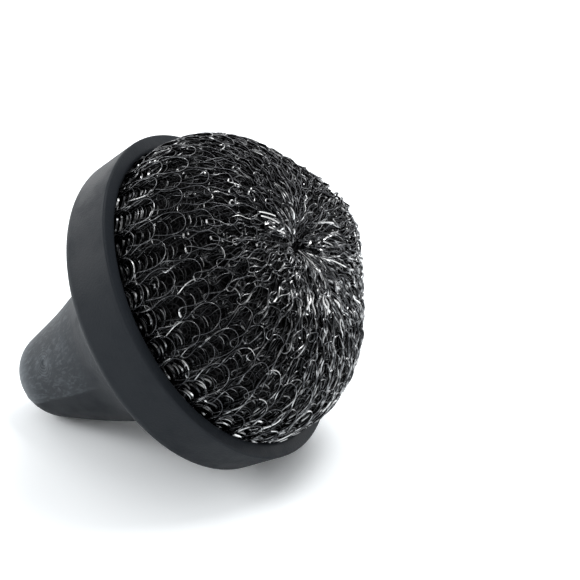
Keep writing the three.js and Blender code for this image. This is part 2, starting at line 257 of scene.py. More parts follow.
@dataclass(frozen=True)
class ToolFrame:
    """The tool's own frame, read from the record's lip mount, whose normal is the axis."""

    centre: np.ndarray
    axis: np.ndarray

    @classmethod
    def from_record(cls, record: dict[str, Any]) -> ToolFrame:
        """Read the lip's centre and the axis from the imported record.

        Args:
            record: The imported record.

        Returns:
            The tool's frame.
        """
        mount = next(m for m in record["mounts"] if m["name"] == "lip_face")
        x, _, z = mount["pos_m"]
        return cls(np.array([x, 0.0, z]), np.array(mount["axis"]))

    @property
    def tilt(self) -> float:
        """The angle between the axis and the floor."""
        return math.asin(self.axis[2])

    @property
    def up(self) -> np.ndarray:
        """The direction square to the axis that points away from the floor."""
        return np.array([-self.axis[2], 0.0, self.axis[0]])

    @property
    def side(self) -> np.ndarray:
        """The direction square to the axis that points to the camera's side."""
        return np.array([0.0, -1.0, 0.0])

    def turn(self, radius: np.ndarray, height: np.ndarray, angle: np.ndarray) -> np.ndarray:
        """Turn tool coordinates into vectors: height along the axis, radius along cos a up + sin a side.

        Args:
            radius: Distance from the axis.
            height: Distance along the axis.
            angle: Angle round the axis from the top towards the side, in radians.

        Returns:
            Vectors in the part's directions, one row each.
        """
        radial = np.cos(angle)[..., None] * self.up + np.sin(angle)[..., None] * self.side
        return np.asarray(height)[..., None] * self.axis + np.asarray(radius)[..., None] * radial

    def place(self, vectors: np.ndarray) -> np.ndarray:
        """Turn vectors in millimetres from the lip's centre into places in metres."""
        return self.centre + MM * vectors

    def coordinates(self, tree: NodeTree) -> NodeSocket:
        """Give a material the tool's coordinates: x along the axis, z up from it, in metres.

        Args:
            tree: The material's tree.

        Returns:
            A vector socket.
        """
        place = add_node(tree, "TexCoord", {}).outputs["Object"]
        turned = Euler((0.0, -self.tilt, 0.0))
        settings = {"vector_type": "TEXTURE"}
        mapping = add_node(tree, "Mapping", settings, Vector=place, Location=Vector(self.centre), Rotation=turned)
        return mapping.outputs["Vector"]


TOOL = ToolFrame.from_record(frame["record"])


def arc(centre: Pair, radius: float, start: float, end: float, steps: int) -> np.ndarray:
    """Points on an arc of an outline: the centre plus the radius times (cos, sin) of evenly spaced angles.

    Args:
        centre: Radius and height of the arc's centre.
        radius: The arc's own radius.
        start: First angle, from the radius towards the axis, in radians.
        end: Last angle.
        steps: Number of stretches.

    Returns:
        Rows of radius and height, both ends included.
    """
    angle = np.linspace(start, end, steps + 1)
    return np.stack([centre[0] + radius * np.cos(angle), centre[1] + radius * np.sin(angle)], axis=1)


def cubic(points: list[Pair], steps: int) -> np.ndarray:
    """Points on a cubic curve: the sum of its four points weighted by the Bernstein polynomials.

    Args:
        points: Four pairs of radius and height.
        steps: Number of stretches.

    Returns:
        Rows of radius and height, both ends included.
    """
    u = np.linspace(0, 1, steps + 1)[:, None]
    weights = np.concatenate([(1 - u) ** 3, 3 * u * (1 - u) ** 2, 3 * u**2 * (1 - u), u**3], axis=1)
    return weights @ np.array(points)


def turned_grid(outline: np.ndarray, sides: int) -> list[np.ndarray]:
    """Repeat an outline round the axis.

    Args:
        outline: Rows of radius and height.
        sides: How many times it is repeated.

    Returns:
        Grids of radius, height and angle, with one row for each point of the outline.
    """
    angle = np.linspace(0, FULL_TURN, sides, endpoint=False)
    return list(np.broadcast_arrays(outline[:, :1], outline[:, 1:], angle))


def turned_piece(name: str, vectors: np.ndarray, material: Material) -> Object:
    """Put a skin on a turned outline, and merge its points on the axis so that its poles are closed.

    Args:
        name: The piece's name.
        vectors: A grid of vectors in millimetres, with one row for each point of the outline.
        material: The piece's material.

    Returns:
        The closed piece.
    """
    faces = grid_faces(*vectors.shape[:2])
    piece = mesh_object(name, TOOL.place(vectors).reshape(-1, 3), faces, Shading.SMOOTH, material)
    work = bmesh.new()
    work.from_mesh(piece.data)
    bmesh.ops.remove_doubles(work, verts=work.verts, dist=1e-6)
    work.to_mesh(piece.data)
    work.free()
    return piece


# Finishes


@dataclass(frozen=True)
class MouldedPolypropylene:
    """Black polypropylene, injection moulded.

    A soft matte black with a broad sheen. The upper half of the grip, above the mould's seam, is painted a little
    greyer, painted light on its lit side, and shows pale wisps round the gate, where the melt came in, rubbed blotches
    and an end that is paler from scuffs and painted light. The rest is plain. The moulded grain is drawn coarser than
    the real one, so that it shows.
    """

    colour: str = "22262b"
    # The paler colour of the marks and of the painted light on the grip.
    wear_and_painted_light: str = "6d7378"
    roughness: Pair = (0.51, 0.65)
    sheen_level: float = 0.13
    ior: float = 1.49
    grain_mm: float = 0.5
    grain_depth_mm: float = 0.08
    mark_relief: float = 1.2
    blotch_mm: float = 9.0
    blotch_share: float = 0.22
    streak_mm: float = 0.9
    streak_draw: Triple = (0.25, 1.0, 1.0)
    streak_share: float = 0.3
    wisp_mm: float = 0.8
    wisp_fade_mm: Pair = (6.5, 1.0)
    wisp_share: float = 0.3
    ring_pitch: float = 0.314
    # The grip's end is paler from scuffs and painted light, and the rest of the upper grip takes a faint painted-light
    # tint.
    scuff_and_light_mm: Pair = (58.0, 70.0)
    scuff_and_light: Pair = (0.1, 1.0)
    grip_fade_mm: float = 12.0
    seam_fade_mm: Pair = (2.2, 1.4)

    def material(self, gate: np.ndarray, grip_depth: float, seam_angle: float) -> Material:
        """Build the material.

        Args:
            gate: The gate's place in tool coordinates, in millimetres.
            grip_depth: How far behind the lip the grip starts to show its marks and painted light, in millimetres.
            seam_angle: The angle of the mould's seam round the axis from the top, in radians.

        Returns:
            The material.
        """
        material, tree, shader = new_material("black_moulded_polypropylene")
        tool = TOOL.coordinates(tree)
        behind = add_node(tree, "SeparateXYZ", {}, Vector=tool).outputs["X"]
        ease = {"interpolation_type": "SMOOTHSTEP"}
        times = {"operation": "MULTIPLY"}

        # The upper half of the grip, from the seam, which takes the marks and the painted light.
        limits = {"From_Min": -grip_depth * MM, "From_Max": -(grip_depth + self.grip_fade_mm) * MM}
        on_grip = add_node(tree, "MapRange", ease, Value=behind, **limits).outputs["Result"]
        upwards = (0.0, math.cos(seam_angle), math.sin(seam_angle))
        above = add_node(tree, "VectorMath", {"operation": "DOT_PRODUCT"}, in_0=tool, in_1=upwards).outputs["Value"]
        limits = {"From_Min": -self.seam_fade_mm[0] * MM, "From_Max": -self.seam_fade_mm[1] * MM}
        upper = add_node(tree, "MapRange", ease, Value=above, **limits).outputs["Result"]
        lit_upper_grip = add_node(tree, "Math", times, in_0=on_grip, in_1=upper).outputs[0]

        # Rubbed blotches, and streaks drawn out along the flow of the melt.
        patches = add_node(
            tree, "TexNoise", {}, Vector=tool, Scale=1 / (self.blotch_mm * MM), Detail=5.0, Roughness=0.65
        ).outputs["Fac"]
        blotch = add_node(tree, "MapRange", ease, Value=patches, From_Min=0.42, From_Max=0.72).outputs["Result"]
        drawn = add_node(tree, "Mapping", {}, Vector=tool, Scale=self.streak_draw).outputs["Vector"]
        lines = add_node(
            tree, "TexNoise", {}, Vector=drawn, Scale=1 / (self.streak_mm * MM), Detail=3.0, Distortion=0.6
        ).outputs["Fac"]
        streak = add_node(tree, "MapRange", ease, Value=lines, From_Min=0.45, From_Max=0.75).outputs["Result"]

        # Wisps that ring the gate and fade out within its reach. A wave of scale 1 has its rings a ring pitch apart.
        settings = {"vector_type": "TEXTURE"}
        from_gate = add_node(tree, "Mapping", settings, Vector=tool, Location=Vector(gate * MM)).outputs["Vector"]
        rings = add_node(
            tree,
            "TexWave",
            {"wave_type": "RINGS", "rings_direction": "SPHERICAL"},
            Vector=from_gate,
            Scale=self.ring_pitch / (self.wisp_mm * MM),
            Distortion=14.0,
            Detail=3.0,
            Detail_Scale=0.25,
        ).outputs["Fac"]
        far = add_node(tree, "VectorMath", {"operation": "LENGTH"}, Vector=from_gate).outputs["Value"]
        limits = {"From_Min": self.wisp_fade_mm[0] * MM, "From_Max": self.wisp_fade_mm[1] * MM}
        near = add_node(tree, "MapRange", ease, Value=far, **limits).outputs["Result"]
        wisp = add_node(tree, "Math", times, in_0=rings, in_1=near).outputs[0]

        # The paler end, from scuffs and painted light, over a faint painted-light tint of the whole upper grip, with
        # the other marks added to it.
        limits = {"From_Min": -self.scuff_and_light_mm[0] * MM, "From_Max": -self.scuff_and_light_mm[1] * MM}
        limits |= {"To_Min": self.scuff_and_light[0], "To_Max": self.scuff_and_light[1]}
        marks_and_light = add_node(tree, "MapRange", ease, Value=behind, **limits).outputs["Result"]
        for mark, share in ((wisp, self.wisp_share), (blotch, self.blotch_share), (streak, self.streak_share)):
            settings = {"operation": "MULTIPLY_ADD"}
            marks_and_light = add_node(tree, "Math", settings, in_0=mark, in_1=share, in_2=marks_and_light).outputs[0]
        marks_and_light = add_node(tree, "Math", times | {"use_clamp": True}, in_0=marks_and_light, in_1=lit_upper_grip).outputs[0]
        colour = add_node(
            tree, "Mix", {"data_type": "RGBA"}, in_0=marks_and_light, in_6=linear(self.colour), in_7=linear(self.wear_and_painted_light)
        ).outputs[2]
        limits = {"To_Min": self.roughness[0], "To_Max": self.roughness[1]}
        roughness = add_node(tree, "MapRange", {}, Value=blotch, **limits).outputs["Result"]
        grain = add_node(tree, "TexNoise", {}, Vector=tool, Scale=1 / (self.grain_mm * MM), Detail=2.0).outputs["Fac"]
        settings = {"operation": "MULTIPLY_ADD"}
        relief = add_node(tree, "Math", settings, in_0=marks_and_light, in_1=self.mark_relief, in_2=grain).outputs[0]
        bump = add_node(tree, "Bump", {}, Strength=0.8, Distance=self.grain_depth_mm * MM, Height=relief)
        feed(tree, shader, Base_Color=colour, Roughness=roughness, Normal=bump.outputs["Normal"])
        feed(tree, shader, IOR=self.ior, Specular_IOR_Level=self.sheen_level)
        return material


@dataclass(frozen=True)
class MouldedNylon:
    """Black nylon, injection moulded: darker and a little glossier than the handle, with a fine grain."""

    colour: str = "1c1d1f"
    roughness: float = 0.42
    ior: float = 1.53
    grain_mm: float = 0.6
    grain_depth_mm: float = 0.05

    def material(self) -> Material:
        """Build the material.

        Returns:
            The material.
        """
        material, tree, shader = new_material("black_moulded_nylon")
        tool = TOOL.coordinates(tree)
        grain = add_node(tree, "TexNoise", {}, Vector=tool, Scale=1 / (self.grain_mm * MM), Detail=3.0).outputs["Fac"]
        bump = add_node(tree, "Bump", {}, Strength=0.2, Distance=self.grain_depth_mm * MM, Height=grain)
        feed(tree, shader, Normal=bump.outputs["Normal"], Base_Color=linear(self.colour))
        feed(tree, shader, Roughness=self.roughness, IOR=self.ior)
        return material


@dataclass(frozen=True)
class PatchySteel:
    """Steel of one colour whose surface is duller in patches."""

    name: str
    colour: str
    roughness: Pair
    patch_mm: float

    def material(self) -> Material:
        """Build the material.

        Returns:
            The material.
        """
        material, tree, shader = new_material(self.name)
        tool = TOOL.coordinates(tree)
        patch = add_node(tree, "TexNoise", {}, Vector=tool, Scale=1 / (self.patch_mm * MM), Detail=2.0).outputs["Fac"]
        limits = {"To_Min": self.roughness[0], "To_Max": self.roughness[1]}
        roughness = add_node(tree, "MapRange", {}, Value=patch, **limits).outputs["Result"]
        feed(tree, shader, Base_Color=linear(self.colour), Metallic=1.0, Roughness=roughness)
        return material


@dataclass(frozen=True)
class ZincPlatedSteel(PatchySteel):
    """Zinc-plated steel, tumbled: a pale cool metal with slight patches of duller plating."""

    name: str = "zinc_plated_steel"
    colour: str = "b4b9bd"
    roughness: Pair = (0.25, 0.5)
    patch_mm: float = 1.5


@dataclass(frozen=True)
class WireEdge(PatchySteel):
    """The narrow edges of the rolled wire, which the rolls never touch: dull grey steel with a soapy film."""

    name: str = "unrolled_steel_wire_edge"
    colour: str = "626366"
    roughness: Pair = (0.23, 0.47)
    patch_mm: float = 2.0


@dataclass(frozen=True)
class PaintedGlintWire(PatchySteel):
    """Short stretches of wire where wires cross or bend over each other, painted pale as painted glints: pale satin
    steel.
    """

    name: str = "painted_glint_steel_wire"
    colour: str = "e6e7e7"
    roughness: Pair = (0.22, 0.42)
    patch_mm: float = 0.5


@dataclass(frozen=True)
class FlatSteelWire:
    """Flat steel wire, drawn and then rolled: the broad faces are smooth and glint.

    Short stretches of the rolled face are painted bright, as painted glints, and the rest is dull grey.
    """

    name: str = "rolled_flat_steel_wire"
    painted_glint_colour: str = "b2b3b4"
    dull: str = "3c3d3f"
    patch_mm: float = 2.4
    scratch_mm: float = 0.5

    def material(self) -> Material:
        """Build the material.

        Returns:
            The material.
        """
        material, tree, shader = new_material(self.name)
        tool = TOOL.coordinates(tree)
        # Painted glints: noise patches mix the dull colour towards the bright one.
        glint_noise = add_node(tree, "TexNoise", {}, Vector=tool, Scale=1 / (self.patch_mm * MM), Detail=3.0).outputs["Fac"]
        painted_glint = add_node(tree, "MapRange", {}, Value=glint_noise, From_Min=0.48, From_Max=0.64).outputs["Result"]
        colour = add_node(
            tree, "Mix", {"data_type": "RGBA"}, in_0=painted_glint, in_6=linear(self.dull), in_7=linear(self.painted_glint_colour)
        ).outputs[2]
        scratch = add_node(tree, "TexNoise", {}, Vector=tool, Scale=1 / (self.scratch_mm * MM)).outputs["Fac"]
        roughness = add_node(tree, "MapRange", {}, Value=scratch, To_Min=0.12, To_Max=0.3).outputs["Result"]
        feed(tree, shader, Base_Color=colour, Metallic=1.0, Roughness=roughness)
        return material


@dataclass(frozen=True)
class RolledKnitShade:
    """The innermost turns of the rolled knit, painted almost black as painted shade, with faint painted threads where a
    wire still catches light.
    """

    colour: str = "121213"
    painted_lit_thread: str = "343435"
    roughness: float = 0.6
    thread_mm: float = 1.4
    thread_height_mm: float = 0.4

    def material(self) -> Material:
        """Build the material.

        Returns:
            The material.
        """
        material, tree, shader = new_material("rolled_knit_in_shade")
        tool = TOOL.coordinates(tree)
        cells = {"feature": "DISTANCE_TO_EDGE"}
        painted_lit_thread = add_node(tree, "TexVoronoi", cells, Vector=tool, Scale=1 / (self.thread_mm * MM)).outputs["Distance"]
        on_wire = add_node(tree, "MapRange", {}, Value=painted_lit_thread, From_Min=0.12, From_Max=0.05).outputs["Result"]
        # Painted shade: a near-black colour, with lighter painted threads along the cell edges.
        colour = add_node(
            tree, "Mix", {"data_type": "RGBA"}, in_0=on_wire, in_6=linear(self.colour), in_7=linear(self.painted_lit_thread)
        ).outputs[2]
        bump = add_node(tree, "Bump", {}, Strength=0.8, Distance=self.thread_height_mm * MM, Height=on_wire)
        feed(tree, shader, Base_Color=colour, Metallic=1.0, Roughness=self.roughness, Normal=bump.outputs["Normal"])
        return material


@dataclass(frozen=True)
class StudioPaper:
    """White seamless paper: matte and slightly cool, with a faint felt of fibres.

    The rays that show it find it a little over white, so that only its shadows are grey. Far from the brush, where
    the lamps don't reach, they find it paler still, so that the horizon stays white.
    """

    level: float = 0.5
    seen_level: float = 1.15
    far_level: float = 1.7
    far_metres: Pair = (0.4, 1.6)
    tint: Triple = (1.0, 1.03, 1.05)
    roughness: float = 0.9
    sheen_level: float = 0.2
    fibre_mm: float = 2.0
    fibre_height_mm: float = 0.02

    def material(self) -> Material:
        """Build the material.

        Returns:
            The material.
        """
        material, tree, shader = new_material("white_seamless_paper")
        place = add_node(tree, "TexCoord", {}).outputs["Object"]
        fibre = add_node(tree, "TexNoise", {}, Vector=place, Scale=1 / (self.fibre_mm * MM)).outputs["Fac"]
        bump = add_node(tree, "Bump", {}, Strength=0.05, Distance=self.fibre_height_mm * MM, Height=fibre)
        far = add_node(tree, "VectorMath", {"operation": "LENGTH"}, Vector=place).outputs["Value"]
        near, horizon = self.far_metres
        limits = {"From_Min": near, "From_Max": horizon, "To_Min": self.seen_level, "To_Max": self.far_level}
        seen = add_node(tree, "MapRange", {}, Value=far, **limits).outputs["Result"]
        limits = {"To_Min": self.level, "To_Max": seen}
        level = add_node(tree, "MapRange", {}, Value=seen_rays(tree), **limits).outputs["Result"]
        white = add_node(tree, "VectorMath", {"operation": "SCALE"}, in_0=self.tint, Scale=level).outputs["Vector"]
        feed(tree, shader, Base_Color=white, Normal=bump.outputs["Normal"])
        feed(tree, shader, Roughness=self.roughness, Specular_IOR_Level=self.sheen_level)
        return material


# The handle


@dataclass
class BellHandle:
    """The one-piece moulding: a tapered grip that flares into a bell with a thick rim and a flat lip."""

    rim_radius: float = 44.9
    rim_taper: float = 1.0
    rim_depth: float = 12.22
    lip_edge_radius: float = 0.5
    lip_flat: float = 2.4
    lip_bevel_width: float = 1.8
    lip_bevel_depth: float = 3.0
    lip_bevel_pulls: Pair = (0.8, 0.6)
    cup_draft: float = 0.6
    cup_corner: float = 1.0
    shoulder_radius: float = 3.2
    shoulder_slope: float = math.radians(55)
    flare_pull: float = 0.38
    grip_root_depth: float = 40.0
    grip_root_radius: float = 20.2
    grip_end_depth: float = 71.84
    grip_end_radius: float = 13.1
    grip_drop: float = 1.68
    wall: float = 3.6
    marks_above_root: float = 8.0
    seam_angle: float = math.radians(100)
    seam_height: float = 0.16
    seam_width: float = 0.5
    seam_below_rim: float = 4.0
    seam_fade_radius: float = 3.0
    seam_fade_width: float = 6.0
    gate_depth: float = 53.1
    gate_angle: float = math.radians(63.6)
    gate_width: float = 0.5
    gate_length: float = 1.5
    gate_sink: float = 0.9
    sides: int = 400
    flare_steps: int = 40
    grip_points: int = 30
    end_steps: int = 24
    edge_steps: int = 10
    band_steps: int = 8
    wall_points: int = 5

    def bell(self, inset: float) -> tuple[np.ndarray, np.ndarray, np.ndarray]:
        """The grip's end, the flare and the shoulder as rows of radius and height.

        The end is an arc that meets the grip's taper, and the flare a cubic curve from the grip's root to the
        shoulder's arc. The end and the flare are moved inwards along their normals by the inset.

        Args:
            inset: Distance inwards, in millimetres.

        Returns:
            The end, the flare and the shoulder, from the grip's end to the rim.
        """
        end_height = self.grip_end_radius - self.grip_end_depth
        rise = -self.grip_root_depth - end_height
        span = math.hypot(self.grip_root_radius, rise)
        taper = math.atan2(self.grip_root_radius, rise) - math.asin(self.grip_end_radius / span)
        end = arc((0.0, end_height), self.grip_end_radius - inset, -math.pi / 2, -taper, self.end_steps)
        corner = self.rim_radius - self.rim_taper - self.shoulder_radius
        slope = self.shoulder_slope
        shoulder = arc((corner, -self.rim_depth), self.shoulder_radius, -slope, 0.0, self.edge_steps)
        root = (self.grip_root_radius, -self.grip_root_depth)
        foot = tuple(shoulder[0])
        reach = self.flare_pull * math.dist(root, foot)
        leave = (root[0] + reach * math.sin(taper), root[1] + reach * math.cos(taper))
        arrive = (foot[0] - reach * math.sin(slope), foot[1] - reach * math.cos(slope))
        flare = cubic([root, leave, arrive, foot], self.flare_steps)
        along = unit(np.gradient(flare, axis=0))
        return end, flare + inset * np.stack([-along[:, 1], along[:, 0]], axis=1), shoulder

    def outline(self) -> np.ndarray:
        """The open outline from the grip's end over the lip to the bottom of the hollow.

        Returns:
            Rows of radius and height.
        """
        end, flare, shoulder = self.bell(0.0)
        grip = np.linspace(end[-1], flare[0], self.grip_points)[1:-1]
        edge_centre = (self.rim_radius - self.lip_edge_radius, -self.lip_edge_radius)
        edge = arc(edge_centre, self.lip_edge_radius, 0.0, math.pi / 2, self.edge_steps)
        band = np.linspace(shoulder[-1], edge[0], self.band_steps)[1:-1]
        flat = self.rim_radius - self.lip_edge_radius - self.lip_flat
        cup = flat - self.lip_bevel_width
        inwards, down = self.lip_bevel_pulls
        bevel = cubic([(flat, 0.0), (flat - inwards, 0.0), (cup, -down), (cup, -self.lip_bevel_depth)], self.band_steps)
        inner_end, inner_flare, _ = self.bell(self.wall)
        inner = np.concatenate([inner_end, inner_flare])
        floor = cup - self.cup_draft
        inner = inner[inner[:, 0] < floor - self.cup_corner]
        corner = (floor, inner[-1, 1] + (floor - inner[-1, 0]) / math.tan(self.shoulder_slope))
        wall = np.linspace(bevel[-1], corner, self.wall_points)[1:]
        return np.concatenate([end, grip, flare[:-1], shoulder, band, edge, bevel, wall, inner[::-1]])

    def drop(self, height: np.ndarray) -> np.ndarray:
        """How far the grip's sections lie below the bell's axis: two smooth steps, 0 at the rim and the end.

        Args:
            height: Distance along the axis.

        Returns:
            Millimetres down.
        """
        from_rim = smooth_step((-height - self.rim_depth) / (self.grip_root_depth - self.rim_depth))
        from_end = smooth_step((self.grip_end_depth + height) / (2 * self.grip_end_radius))
        return self.grip_drop * from_rim * from_end

    def gate(self) -> np.ndarray:
        """Find the gate on the grip's outside.

        Returns:
            Its place in tool coordinates, in millimetres.
        """
        end, flare, _ = self.bell(0.0)
        line = np.concatenate([end, flare])
        radius = np.interp(-self.gate_depth, line[:, 1], line[:, 0])
        drop = float(self.drop(np.array(-self.gate_depth)))
        up = radius * math.cos(self.gate_angle) - drop
        return np.array([-self.gate_depth, -radius * math.sin(self.gate_angle), up])

    def build(self) -> None:
        """Turn the outline round the axis, with the mould's seam as a fine ridge and the gate as a slit.

        The radius at an angle is the outline's, plus the seam's height times exp(-(d/w)^2) at a distance d along
        the surface from either seam, less the gate's depth times exp(-(x/w)^2 - (y/l)^2) round the gate, both on
        the outside of the grip alone. Each section is then moved down by the grip's drop.
        """
        outline = self.outline()
        radius, height, angle = turned_grid(outline, self.sides)
        outside = np.arange(len(outline)) < np.argmax(outline[:, 1])
        on_grip = outside[:, None] & (height < -self.rim_depth - self.seam_below_rim)
        from_seam = np.abs(wrap(angle - self.seam_angle, math.pi))
        fade = smooth_step((radius - self.seam_fade_radius) / self.seam_fade_width)
        ridge = self.seam_height * fade * np.exp(-((radius * from_seam / self.seam_width) ** 2))
        along, across = height + self.gate_depth, radius * wrap(angle - self.gate_angle, FULL_TURN)
        slit = self.gate_sink * np.exp(-((along / self.gate_width) ** 2) - (across / self.gate_length) ** 2)
        radius = np.where(on_grip, radius + ridge - slit, radius)
        vectors = TOOL.turn(radius, height, angle) - self.drop(height)[..., None] * TOOL.up
        marks_from = self.grip_root_depth - self.marks_above_root
        material = MouldedPolypropylene().material(self.gate(), marks_from, self.seam_angle)
        ride(turned_piece("handle_moulding", vectors, material), Slot.HANDLE, "handle")


# The knitted pad


@dataclass(frozen=True)
class Dome:
    """The pad's outer form: a quarter superellipse turned round the axis, with a dimple at the pole and a skirt."""

    radius: float = 40.7
    base: float = 0.6
    rise: float = 29.9
    power: float = 2.35
    dimple_depth: float = 4.0
    dimple_width: float = 6.5
    skirt: float = 9.6
    skirt_tuck: float = 2.5
    skirt_samples: int = 60
    lean_up: float = 2.1
    lean_side: float = 0.5
    lean_power: float = 1.5
    pole_up: float = 1.5
    pole_side: float = 3.5
    pole_reach: float = 15.0
    pole_clear: float = 0.3
    bulge: float = 5.0
    bulge_way: Pair = (0.6, 0.8)
    bulge_angle: float = -math.pi / 2
    bulge_spread: float = 0.7
    bulge_radius: float = 20.0
    bulge_width: float = 9.0
    bulge_clear: float = 8.0

    def meridian(self, samples: int = 1200) -> tuple[np.ndarray, np.ndarray, np.ndarray]:
        """Points of the meridian from the skirt's edge to the pole.

        The radius is R cos(a)^(2/n) and the height is b + H sin(a)^(2/n) - d exp(-(r/w)^2). Below the base the
        skirt's radius is R - k x^2 at a share x of its depth.

        Args:
            samples: Points on the dome.

        Returns:
            Lengths along it, rows of radius and height, and rows of its outward normals.
        """
        angle = np.linspace(0, math.pi / 2, samples)
        radius = self.radius * np.cos(angle).clip(0) ** (2 / self.power)
        height = self.base + self.rise * np.sin(angle) ** (2 / self.power)
        height = height - self.dimple_depth * np.exp(-((radius / self.dimple_width) ** 2))
        share = np.linspace(1, 0, self.skirt_samples, endpoint=False)
        skirt = np.stack([self.radius - self.skirt_tuck * share**2, self.base - self.skirt * share], axis=1)
        line = np.concatenate([skirt, np.stack([radius, height], axis=1)])
        along = unit(np.gradient(line, axis=0))
        length = np.concatenate([[0.0], np.cumsum(np.linalg.norm(np.diff(line, axis=0), axis=1))])
        return length, line, np.stack([along[:, 1], -along[:, 0]], axis=1)

    def warp(self, radius: np.ndarray, height: np.ndarray, turn: np.ndarray) -> np.ndarray:
        """Vectors that make the dome uneven.

        The crown leans by a power of x of its offset at a share x of the rise, the pole is pulled off the axis by
        exp(-(r/g)^2) of its own offset, and the far side bulges by exp(-(da/s)^2 - ((r - m)/w)^2), mostly along the
        axis and not at the pole.

        Args:
            radius: Distance from the axis.
            height: Distance along the axis.
            turn: Angle round the axis from the top.

        Returns:
            Vectors in millimetres.
        """
        share = np.clip((height - self.base) / self.rise, 0, 1)[..., None] ** self.lean_power
        lean = share * (self.lean_up * TOOL.up + self.lean_side * TOOL.side)
        pull = np.exp(-((radius / self.pole_reach) ** 2))[..., None]
        off = wrap(turn - self.bulge_angle, FULL_TURN)
        ring = ((radius - self.bulge_radius) / self.bulge_width) ** 2
        swell = self.bulge * smooth_step(radius / self.bulge_clear) * np.exp(-((off / self.bulge_spread) ** 2) - ring)
        out, along = self.bulge_way
        bulge = TOOL.turn(out * swell, along * swell, turn)
        return lean + pull * (self.pole_up * TOOL.up + self.pole_side * TOOL.side) + bulge

    def lay(self, length: np.ndarray, turn: np.ndarray, lift: np.ndarray) -> tuple[np.ndarray, np.ndarray, np.ndarray]:
        """Lay points over the dome at lengths along the meridian, angles round the axis and lifts along the normal.

        Args:
            length: Millimetres from the skirt's edge.
            turn: Angles from the top, in radians.
            lift: Millimetres outwards.

        Returns:
            Places in metres, outward directions and distances from the axis.
        """
        lengths, line, normals = self.meridian()
        at = np.clip(length, 0, lengths[-1] - self.pole_clear)
        radius, height, out_r, out_h = (np.interp(at, lengths, column) for column in (*line.T, *normals.T))
        vectors = TOOL.turn(radius + out_r * lift, height + out_h * lift, turn) + self.warp(radius, height, turn)
        return TOOL.place(vectors), TOOL.turn(out_r, out_h, turn), radius


@dataclass(frozen=True)
class Strand:
    """The course of one or more wires, with one row of steps for each wire."""

    places: np.ndarray
    out: np.ndarray
    twist: np.ndarray
    # Where each wire is painted with glints, and so takes the pale glint finish.
    wear_and_painted_light: np.ndarray


@dataclass(frozen=True)
class FlatWire:
    """The wire's section: a thin strip that stands on its edge where it bends."""

    width: float = 0.52
    thickness: float = 0.1

    def sweep(self, strand: Strand) -> tuple[np.ndarray, np.ndarray, np.ndarray]:
        """Carry the section along a strand.

        At each place the wide way of the section is the outward direction, made square to the path and turned about
        it by the twist. The four corners are half a width and half a thickness from the path.

        Args:
            strand: The wires' course.

        Returns:
            The points, the faces, closed at both ends, and 0 for each broad face, 1 for each edge and 2 where a glint
            is painted.
        """
        path = strand.places
        strips, steps = path.shape[:2]
        along = unit(np.gradient(path, axis=1))
        across = unit(np.cross(along, strand.out))
        up = np.cross(across, along)
        cos, sin = np.cos(strand.twist)[..., None], np.sin(strand.twist)[..., None]
        wide = MM * self.width / 2 * (up * cos + across * sin)
        thin = MM * self.thickness / 2 * (across * cos - up * sin)
        ring = [path + wide + thin, path - wide + thin, path - wide - thin, path + wide - thin]
        last = 4 * (steps - 1)
        caps = np.array([[3, 2, 1, 0], [last, last + 1, last + 2, last + 3]])
        strip = np.concatenate([grid_faces(steps, 4), caps])
        faces = strip + 4 * steps * np.arange(strips)[:, None, None]
        sides = np.where(strand.wear_and_painted_light[:, :-1, None], 2, [0, 1, 0, 1]).reshape(strips, last)
        choice = np.concatenate([sides, np.ones((strips, 2), int)], axis=1)
        return np.stack(ring, axis=2).reshape(-1, 3), faces.reshape(-1, 4), choice.ravel()


